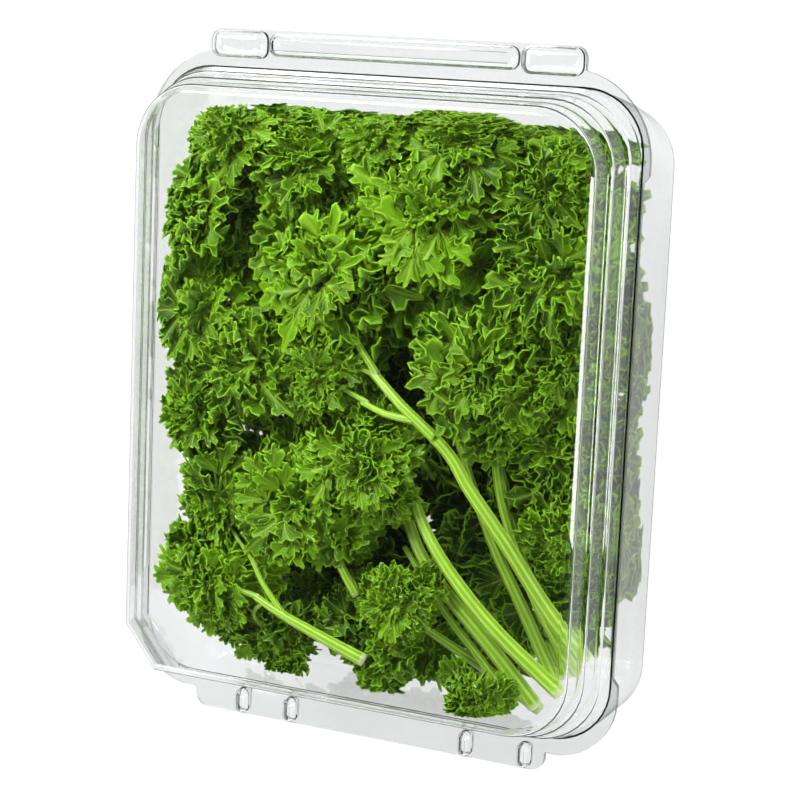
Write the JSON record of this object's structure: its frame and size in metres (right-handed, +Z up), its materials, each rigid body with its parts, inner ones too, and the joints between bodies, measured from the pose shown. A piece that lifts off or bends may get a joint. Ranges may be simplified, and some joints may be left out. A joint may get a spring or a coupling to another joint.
{
  "type": "parsley bunch in a hinged clamshell",
  "caption": "Loose bunch of curly parsley sprigs lying in a clear hinged clamshell with a stepped lid, a hinge strip and a snap-down closing tab.",
  "frame": {"origin": "under the middle of the box around the closed pack, on the surface it lies on", "axes": "+Z up out of the lid, +Y towards the hinge, +X to the right seen from above with the hinge away"},
  "size_m": [0.1524, 0.1998, 0.052],
  "materials": {
    "clear_pet": "polished",
    "parsley_stem": "satin",
    "parsley_leaf": "satin"
  },
  "bodies": {
    "tray": {"clamshell_base": "clear_pet", "stem_01": "parsley_stem", "stem_02": "parsley_stem", "stem_03": "parsley_stem", "stem_04": "parsley_stem", "stem_05": "parsley_stem", "stem_06": "parsley_stem", "stem_07": "parsley_stem", "stem_08": "parsley_stem", "stem_09": "parsley_stem", "stem_10": "parsley_stem", "stem_11": "parsley_stem", "stem_12": "parsley_stem", "stem_13": "parsley_stem", "stem_14": "parsley_stem", "leaf_head_01": "parsley_leaf", "leaf_head_02": "parsley_leaf", "leaf_head_03": "parsley_leaf", "leaf_head_04": "parsley_leaf", "leaf_head_05": "parsley_leaf", "leaf_head_06": "parsley_leaf", "leaf_head_07": "parsley_leaf", "leaf_head_08": "parsley_leaf", "leaf_head_09": "parsley_leaf", "leaf_head_10": "parsley_leaf", "leaf_head_11": "parsley_leaf", "leaf_head_12": "parsley_leaf", "leaf_head_13": "parsley_leaf", "leaf_head_14": "parsley_leaf", "leaf_head_15": "parsley_leaf", "leaf_head_16": "parsley_leaf", "leaf_head_17": "parsley_leaf", "leaf_head_18": "parsley_leaf", "leaf_head_19": "parsley_leaf", "leaf_head_20": "parsley_leaf", "leaf_head_21": "parsley_leaf", "leaf_head_22": "parsley_leaf", "leaf_head_23": "parsley_leaf", "leaf_head_24": "parsley_leaf", "leaf_head_25": "parsley_leaf", "leaf_head_26": "parsley_leaf", "leaf_head_27": "parsley_leaf", "leaf_head_28": "parsley_leaf", "leaf_head_29": "parsley_leaf", "leaf_head_30": "parsley_leaf", "leaf_head_31": "parsley_leaf", "leaf_head_32": "parsley_leaf", "leaf_head_33": "parsley_leaf", "leaf_head_34": "parsley_leaf"},
    "lid": {"clamshell_lid": "clear_pet"}
  },
  "joints": [
    {"name": "lid_hinge", "type": "hinge", "parent": "tray", "child": "lid", "pos_m": [0, 0.1002, 0.03], "axis": [-1, 0, 0], "range_deg": [0, 180]}
  ]
}
